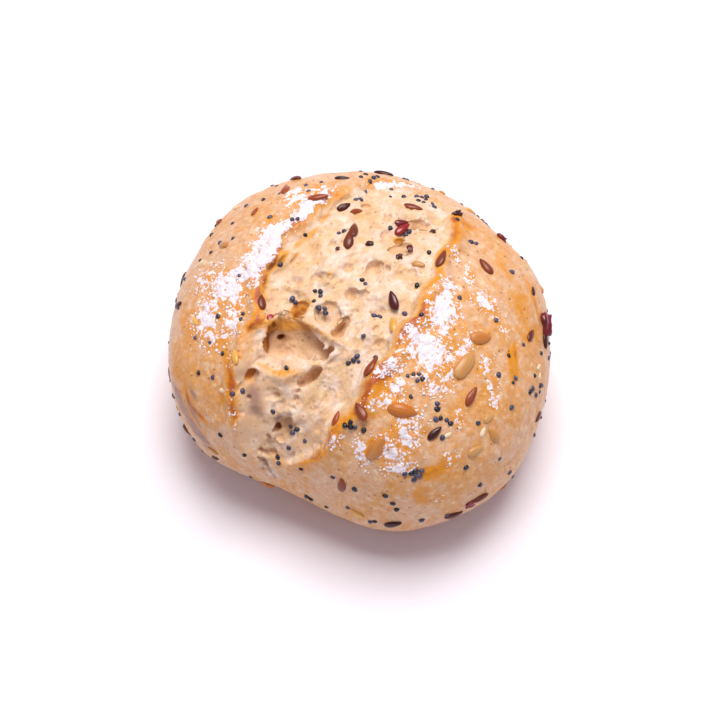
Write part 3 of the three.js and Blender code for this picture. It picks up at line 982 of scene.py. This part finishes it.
# Crust: tan, with golden to orange-brown patches and streaks and small dark specks.
CRUST_COATS = (
    ("gold", 0.78, 1.05, 1, "#E09C50"),
    ("fine", 0.35, 0.75, 0.3, "#F3D3A4"),
    ("mottle", 0.48, 0.34, 0.5, "#F8E0B8"),
    ("mottle", 0.52, 0.68, 0.5, "#CC8840"),
    ("heat", 0.15, 0.95, 1, "#E3941E"),
    ("heat", 0.9, 1.8, 1, "#B85A18"),
    ("specks", 0.17, 0.07, 0.6, "#7A3A16"),
)
# Crumb: cream, tan where it skinned over, golden on the thin walls; the brown in holes, in pores and under
# the bubble's arch is painted shade.
CRUMB_COATS = (
    ("middling", 0.38, 0.62, 1, "#E9C494"),
    ("broad", 0.5, 0.75, 0.6, "#ECBB80"),
    ("threads", 0.6, 0.42, 0.35, "#DDB08A"),
    ("smooth", 0, 1, 0.8, "#E2B98E"),
    # Painted shade in holes and pores: tan, then dark brown the deeper they lie.
    ("hollow", 0.6, 2, 1, "#E3B88A"),
    ("hollow", 1.8, 3.4, 1, "#8E4E1A"),
    ("warm", 0.15, 1, 1, "#E8A445"),
    # Painted shade: dark brown where the golden share passes 1, in holes and under the bubble's arch.
    ("warm", 1, 1.6, 1, "#8E4E16"),
    # Painted shade in pinholes: small brown dots in the crumb.
    ("pinholes", 0.24, 0.1, 0.45, "#A8713A"),
)
# Over both: painted lilac-grey shade and a thin film of flour.
BREAD_COATS = (("painted_lilac_shade", 0.2, 1, 0.85, "#9C7468"), ("film", 0.1, 0.8, 0.4, "#EBC8B8"))
# The mesh's flour where grains begin and where they are full, and how sharp their edge is.
FLOUR_REACH = {"From Min": 0.03, "From Max": 0.2}
FLOUR_EDGE = {"From Min": 2.0, "From Max": 2.14}
# How rough the crust is, and how much rougher the crumb and the flour are.
CRUST_ROUGHNESS = 0.36
ROUGHER = (("crumb", 0.12), ("dusted", 0.5))
# Its bumps: which value is the height, which is the share, and the depth in millimetres.
BREAD_BUMPS = (("wrinkles", "crust", 0.5), ("films", "torn", 0.35), ("powder", "dusted", 0.4))


def bread_material():
    """Baked wheat dough: a thin satin crust browned by the oven, moist cream crumb with a soft
    sheen where it tore, and flour that stayed on as dry white grains."""
    satin = {"IOR": 1.45, "Specular IOR Level": 0.45}
    moist = {"Subsurface Weight": 0.15, "Subsurface Scale": 1.5 * MM}
    moist["Subsurface Radius"] = (1.0, 0.5, 0.25)
    material, tree, shader, where = new_material("baked_wheat_dough", **satin, **moist)
    has = {}
    for name in BREAD_VALUES:
        has[name] = node(tree, "ShaderNodeAttribute", output="Fac", attribute_name=name)
    for name, length, detail, rough, stretch in BREAD_NOISES:
        drawn_out = node(tree, "ShaderNodeMapping", {"Vector": where, "Scale": stretch})
        inputs = {"Vector": drawn_out, "Scale": 1 / (length * MM), "Detail": detail, "Roughness": rough}
        has[name] = node(tree, "ShaderNodeTexNoise", inputs, "Fac")
    for name, length in BREAD_CELLS:
        inputs = {"Vector": where, "Scale": 1 / (length * MM)}
        has[name] = node(tree, "ShaderNodeTexVoronoi", inputs, "Distance")
    for name, total, *terms in BREAD_SUMS:
        for term, weight in terms:
            inputs = {0: has[term], 1: weight, 2: total}
            total = node(tree, "ShaderNodeMath", inputs, operation="MULTIPLY_ADD")
        has[name] = total

    crust = painted(tree, linear("#E2B38A"), has, CRUST_COATS)
    cream = painted(tree, linear("#F5DEC9"), has, CRUMB_COATS)
    bread = node(tree, "ShaderNodeMix", {0: has["crumb"], 6: crust, 7: cream}, 2, data_type="RGBA")
    bread = painted(tree, bread, has, BREAD_COATS)

    # Flour: clumps and grains, thinning out at the edge of each patch.
    near = node(tree, "ShaderNodeMapRange", {"Value": has["flour"], **FLOUR_REACH})
    inputs = {"Value": has["cover"], "To Max": near, **FLOUR_EDGE}
    has["dusted"] = node(tree, "ShaderNodeMapRange", inputs, interpolation_type="SMOOTHSTEP")
    white = painted(tree, linear("#F1E2E6"), has, (("fine", 0.3, 0.7, 1, "#FDF8FA"),))
    bread = node(tree, "ShaderNodeMix", {0: has["dusted"], 6: bread, 7: white}, 2, data_type="RGBA")
    tree.links.new(bread, shader.inputs["Base Color"])

    rough = CRUST_ROUGHNESS
    for name, weight in ROUGHER:
        rough = node(tree, "ShaderNodeMath", {0: has[name], 1: weight, 2: rough}, operation="MULTIPLY_ADD")
    tree.links.new(rough, shader.inputs["Roughness"])

    inputs = {}
    for height, share, depth in BREAD_BUMPS:
        inputs.update({"Height": has[height], "Strength": has[share], "Distance": depth * MM})
        inputs["Normal"] = node(tree, "ShaderNodeBump", inputs)
    tree.links.new(inputs["Normal"], shader.inputs["Normal"])
    return material


# What covers each kind of seed: its pale and its dark colour, its roughness, how many streaks
# lie along it and across it, how strong they are, and how much clear wax it has.
SEED_FINISHES = {
    # The polished husk of a brown linseed: a soft gloss, red-brown to nearly black.
    "linseed_hull": ("#A64C1E", "#3C0A06", 0.34, (2, 3), 0.5, 0.1),
    # The same husk, stained by berry juice: deep red and glossier, as if it were wet.
    "red_linseed_hull": ("#A01A1C", "#3C060C", 0.28, (2, 3), 0.5, 0.5),
    # The husk of a golden linseed: amber, with a clear gloss.
    "golden_linseed_hull": ("#EDB650", "#B06A20", 0.32, (2, 3), 0.5, 0.4),
    # A shelled kernel, toasted: satin, with fine tan and brown streaks along it.
    "sunflower_kernel": ("#CC9A58", "#C26C1A", 0.38, (1.2, 9), 1.0, 0.1),
    # Dried fruit: dark red, mottled and sticky, so it shines.
    "dried_berry": ("#A81C2C", "#3C0810", 0.28, (4, 4), 0.8, 0.5),
    # A toasted sesame seed: pale cream and nearly matt.
    "sesame_hull": ("#F4DFB8", "#D9B87C", 0.45, (2, 3), 0.5, 0.1),
    # A poppy seed's netted hull: slate blue to black, with small soft glints.
    "poppy_seed_hull": ("#504C66", "#0E0C14", 0.36, (4, 4), 0.5, 0.3),
}


def seed_material(name):
    """A seed's hull: the seed's own tone chooses between two colours, and streaks shift it."""
    pale, dark, roughness, grain, contrast, coat = SEED_FINISHES[name]
    constants = {"Roughness": roughness, "IOR": 1.47, "Coat Weight": coat, "Coat Roughness": 0.25}
    material, tree, shader, _ = new_material(name, **constants)
    lay = node(tree, "ShaderNodeAttribute", output="Vector", attribute_name="lay")
    lay = node(tree, "ShaderNodeMapping", {"Vector": lay, "Scale": (*grain, 1)})
    streaks = node(tree, "ShaderNodeTexNoise", {"Vector": lay, "Scale": 1.0, "Detail": 3.0}, "Fac")
    tone = node(tree, "ShaderNodeAttribute", output="Fac", attribute_name="tone")
    tone = node(tree, "ShaderNodeMath", {0: streaks, 1: contrast, 2: tone}, operation="MULTIPLY_ADD")
    half = contrast / 2
    colour = painted(tree, linear(pale), {"tone": tone}, (("tone", half, 1 + half, 1, dark),))
    tree.links.new(colour, shader.inputs["Base Color"])
    ridges = node(tree, "ShaderNodeBump", {"Height": streaks, "Distance": 0.1 * MM})
    tree.links.new(ridges, shader.inputs["Normal"])
    return material


def flour_material():
    """Wheat flour: dry, matt and very slightly warm, so loose grains read as soft white."""
    dry = {"Roughness": 0.95, "IOR": 1.45}
    material, tree, shader, where = new_material("wheat_flour", **dry)
    inputs = {"Vector": where, "Scale": 1 / (0.4 * MM), "Detail": 2}
    grain = node(tree, "ShaderNodeTexNoise", inputs, "Fac")
    colour = painted(tree, linear("#F1E4E6"), {"grain": grain}, (("grain", 0.2, 0.8, 1, "#FDF9F9"),))
    tree.links.new(colour, shader.inputs["Base Color"])
    return material


# Seeds

def unit_drop(levels, tip):
    """A flat drop one unit long, round at one end and pointed at the other, along +X."""
    bm = bmesh.new()
    bmesh.ops.create_icosphere(bm, subdivisions=levels, radius=0.5)
    for v in bm.verts:
        along = v.co.x + 0.5
        v.co.y *= 1 - tip * along**2
        v.co.z *= 1 - 0.5 * tip * along**2
        v.co.x += 0.1 * max(0, v.co.x) * (1 - 2 * abs(v.co.y))
    return bm


def unit_bean():
    """A poppy seed: a small bean with a dent in one side."""
    bm = bmesh.new()
    bmesh.ops.create_uvsphere(bm, u_segments=10, v_segments=6, radius=0.5)
    for v in bm.verts:
        v.co.y -= 0.5 * v.co.x**2
    return bm


def unit_lump(levels):
    """A scrap of dried fruit, or a grain: a lumpy pebble."""
    bm = bmesh.new()
    bmesh.ops.create_icosphere(bm, subdivisions=levels, radius=0.5)
    for v in bm.verts:
        v.co *= 1 + 0.5 * noise.noise(v.co * 3)
    return bm


def seeds_piece(name, material, seeds, shape, proportions, under, uneven):
    """Seeds of one kind as one mesh: copies of a unit shape, each lying on the skin with its
    own length and tone, and a little out of shape."""
    unit = mesh_of(name, shape)
    unit_points = vertex_array(unit)
    unit_faces = [np.array(polygon.vertices) for polygon in unit.polygons]
    bpy.data.meshes.remove(unit)
    # The length of its name starts the draw, so that each kind is uneven in its own way.
    rng = np.random.default_rng(len(name))
    points = []
    faces = []
    tones = []
    lays = []
    for direction, heading, length, tone in seeds:
        matrix = set_on_skin(direction, heading, under * length)
        lumps = 1 + uneven * np.sin(unit_points @ rng.normal(0, 5, 3) + 6 * rng.random())
        own = unit_points * lumps[:, None] * proportions * length
        faces += [(face + len(points) * len(unit_points)).tolist() for face in unit_faces]
        points.append(own @ np.array(matrix.to_3x3()).T + np.array(matrix.translation))
        tones += [tone] * len(unit_points)
        lays.append(unit_points + (0, 0, 3 * len(points)))
    mesh = bpy.data.meshes.new(name)
    mesh.from_pydata(to_metres(np.concatenate(points)), [], faces)
    add_attribute(mesh, "tone", tones)
    lay = mesh.attributes.new("lay", "FLOAT_VECTOR", "POINT")
    lay.data.foreach_set("vector", np.concatenate(lays).astype(np.float32).ravel())
    shade_smooth(mesh)
    mesh.materials.append(material)
    return add_object(name, mesh)


def strewn_places():
    """The CAD model's draw of seeds over the far side, kind by kind."""
    # The seeds that the draw keeps clear of, besides the poppy seeds.
    laid = [*LINSEEDS, *RED_LINSEEDS, *GOLDEN_LINSEEDS]
    laid += [*KERNELS[:6], KERNELS[9], KERNELS[7], BERRIES[0], *BERRIES[4:6]]
    taken = [skin_point(direction_of(b, t)[None])[0] for b, t, *_ in (*laid, *POPPIES)]
    draw = chance(STREWN_SEED)
    highest, lowest = STREWN_TILTS
    found = []
    for count, gap in STREWN:
        places = []
        while len(places) < count:
            direction = drawn_direction(draw)
            heading = 360 * draw()
            tilt = math.degrees(math.acos(direction[2]))
            place = skin_point(direction[None])[0]
            if tilt < highest or tilt > lowest:
                continue
            if direction @ NEAR_SIDE > NEAR_SIDE_LIMIT or slash_at(place[None])[0][0] > -SLASH_GAP:
                continue
            if any(np.linalg.norm(other - place) < gap for other in taken):
                continue
            taken.append(place)
            places.append((direction, heading))
        found.append(places)
    return found


def listed(seeds):
    return [(direction_of(b, t), heading, length, tone) for b, t, heading, length, tone in seeds]


def with_size(rng, places, length):
    """Places that were drawn, with a length and a tone each."""
    found = []
    for direction, heading in places:
        own_length = length * (1 + FAR_SPREAD * (rng.random() - 0.5))
        found.append((direction, heading, own_length, rng.random()))
    return found


# Poppy seeds that lie together: how near and how far apart, in millimetres, and the start
# of the draw.
TOUCHING = (1.1, 1.45)
POPPY_SEED = 17


def poppy_places():
    """The poppy seeds that show, in loose twos and more where they lie together."""
    rng = np.random.default_rng(POPPY_SEED)
    found = []
    near, far = TOUCHING
    for bearing, tilt, count in POPPIES + SMALL_POPPIES:
        matrix = set_on_skin(direction_of(bearing, tilt), 0, 0)
        spots = [np.zeros(2)]
        while len(spots) < count:
            turn = 2 * math.pi * rng.random()
            reach = near + (far - near) * rng.random()
            spot = spots[rng.integers(len(spots))] + reach * np.array((math.cos(turn), math.sin(turn)))
            if min(np.linalg.norm(spot - other) for other in spots) >= near:
                spots.append(spot)
        for spot in spots:
            direction = np.array(matrix @ Vector((*spot, 0)))
            direction /= np.linalg.norm(direction)
            found.append((direction, 360 * rng.random(), 1.15 + 0.5 * rng.random(), rng.random()))
    return found


# Loose grains of flour: how many, their smallest and largest size, and how many places are
# tried at a time.
FLOUR_GRAINS = 1500
FLOUR_GRAIN = (0.25, 0.9)
FLOUR_TRIES = 4000
FLOUR_SEED = 9


def flour_grains():
    """Grains by chance, most of them round the edge of the flour and fewer where it is thick."""
    rng = np.random.default_rng(FLOUR_SEED)
    found = []
    small, large = FLOUR_GRAIN
    while len(found) < FLOUR_GRAINS:
        directions = rng.normal(size=(FLOUR_TRIES, 3))
        directions /= np.linalg.norm(directions, axis=1)[:, None]
        places = skin_point(directions)
        share = patch_share(places, FLOUR)
        inside, opening, _ = slash_at(body_point(directions))
        share = np.where((inside > 0) & (opening > 0.1), share * 0.12, share)
        fringe = np.clip(share - 0.06, 0, 0.35) * (1 - 0.8 * smoothstep(share, 0.4, 0.7))
        kept = np.nonzero(rng.random(FLOUR_TRIES) < fringe)[0]
        for i in kept:
            size = small + (large - small) * rng.random() ** 2.4
            found.append((directions[i], 360 * rng.random(), size, rng.random()))
    return found[:FLOUR_GRAINS]


def scattered(count, gap, seed, size):
    """Small seeds by chance on the far side, clear of each other."""
    rng = np.random.default_rng(seed)
    found = []
    taken = []
    while len(found) < count:
        direction = rng.normal(size=3)
        direction /= np.linalg.norm(direction)
        place = skin_point(direction[None])[0]
        if direction @ NEAR_SIDE > NEAR_SIDE_LIMIT or direction[2] <= LOWEST_SCATTERED:
            continue
        if any(np.linalg.norm(other - place) < gap for other in taken):
            continue
        taken.append(place)
        found.append((direction, 360 * rng.random(), size * (0.85 + 0.3 * rng.random()), rng.random()))
    return found


# The stage, the light and the camera

CAMERA_AZIMUTH = math.radians(27)
CAMERA_ELEVATION = math.radians(60)
CAMERA_DISTANCE = 0.4
CAMERA_AIM = (Vector((2.15, -4.68, 21)) + PLAN_SHIFT) * MM
CAMERA_LENS = 85
CAMERA_SENSOR = 36
# The one lamp stands high behind the roll, so the shadow falls towards the camera.
KEY_AZIMUTH = math.radians(197)
KEY_ELEVATION = math.radians(76)
KEY_DISTANCE = 1.0
KEY_SIZE = 0.58
KEY_POWER = 10.9
STUDIO_STRENGTH = 0.39


def look_from(thing, azimuth, elevation, distance):
    """Sets a camera or a lamp that far off, turned to the roll. Azimuth 0 is on the -Y side."""
    level = math.cos(elevation)
    away = Vector((level * math.sin(azimuth), -level * math.cos(azimuth), math.sin(elevation)))
    thing.location = CAMERA_AIM + away * distance
    thing.rotation_euler = away.to_track_quat("Z", "Y").to_euler()
    bpy.context.scene.collection.objects.link(thing)


def put_camera():
    camera = bpy.data.objects.new("camera", bpy.data.cameras.new("camera"))
    look_from(camera, CAMERA_AZIMUTH, CAMERA_ELEVATION, CAMERA_DISTANCE)
    camera.data.lens = CAMERA_LENS
    camera.data.sensor_width = CAMERA_SENSOR
    camera.data.clip_start = 0.01
    bpy.context.scene.camera = camera


def put_key_light():
    """A square soft lamp, very slightly warm."""
    light = bpy.data.lights.new("key", "AREA")
    light.size = KEY_SIZE
    light.energy = KEY_POWER
    light.color = linear("#FFFBF8")[:3]
    look_from(bpy.data.objects.new("key", light), KEY_AZIMUTH, KEY_ELEVATION, KEY_DISTANCE)


def put_stage():
    """Matt white paper, faintly lilac, so that the crust looks warm, and an even sky."""
    bm = bmesh.new()
    bmesh.ops.create_grid(bm, x_segments=1, y_segments=1, size=3)
    floor = add_object("floor", mesh_of("floor", bm))
    paper = {"Base Color": linear("#F7F4F8"), "Roughness": 0.9}
    floor.data.materials.append(new_material("white_paper_sweep", **paper)[0])
    world = bpy.data.worlds.new("studio")
    world.use_nodes = True
    world.node_tree.nodes["Background"].inputs["Color"].default_value = linear("#EEE8FF")
    world.node_tree.nodes["Background"].inputs["Strength"].default_value = STUDIO_STRENGTH
    bpy.context.scene.world = world
    bpy.context.scene.view_settings.view_transform = "Standard"


def attach(piece):
    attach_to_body(piece, "root")
    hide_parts("bread_roll")


put_camera()
put_stage()
put_key_light()
attach(bread_body())

far_linseeds, far_kernels, far_poppies = strewn_places()
far_rng = np.random.default_rng(FAR_SEED)
browns = listed(LINSEEDS) + with_size(far_rng, far_linseeds, FAR_LINSEED)
reds = listed(RED_LINSEEDS)
goldens = listed(GOLDEN_LINSEEDS)
kernels = listed(KERNELS) + with_size(far_rng, far_kernels, FAR_KERNEL)
poppies = poppy_places() + with_size(far_rng, far_poppies, FAR_POPPY) + scattered(*FAR_POPPIES)
sesames = listed(SESAMES) + scattered(*FAR_SESAMES)
berries = listed(BERRIES)

# Each kind of seed: its name, its material, its places, its unit shape, its proportions, how
# far its middle is sunk in the skin, as a share of its length, and how uneven it is.
seed_kinds = (
    ("brown_linseeds", "linseed_hull", browns, unit_drop(3, 0.45), (1, 0.5, 0.3), -0.02, 0.06),
    ("red_linseeds", "red_linseed_hull", reds, unit_drop(3, 0.45), (1, 0.55, 0.34), -0.06, 0.06),
    ("golden_linseeds", "golden_linseed_hull", goldens, unit_drop(3, 0.45), (1, 0.5, 0.3), -0.02, 0.06),
    ("sunflower_kernels", "sunflower_kernel", kernels, unit_drop(3, 0.35), (1, 0.56, 0.32), 0, 0.06),
    ("berry_bits", "dried_berry", berries, unit_lump(3), (1, 0.66, 0.5), -0.08, 0.15),
    ("sesame_seeds", "sesame_hull", sesames, unit_drop(2, 0.4), (1, 0.6, 0.32), 0, 0.06),
    ("poppy_seeds", "poppy_seed_hull", poppies, unit_bean(), (1, 0.85, 0.75), 0.08, 0.06),
)
for name, finish, *form in seed_kinds:
    attach(seeds_piece(name, seed_material(finish), *form))
grains = flour_grains()
attach(seeds_piece("flour_grains", flour_material(), grains, unit_lump(1), (1, 0.8, 0.5), 0, 0.25))
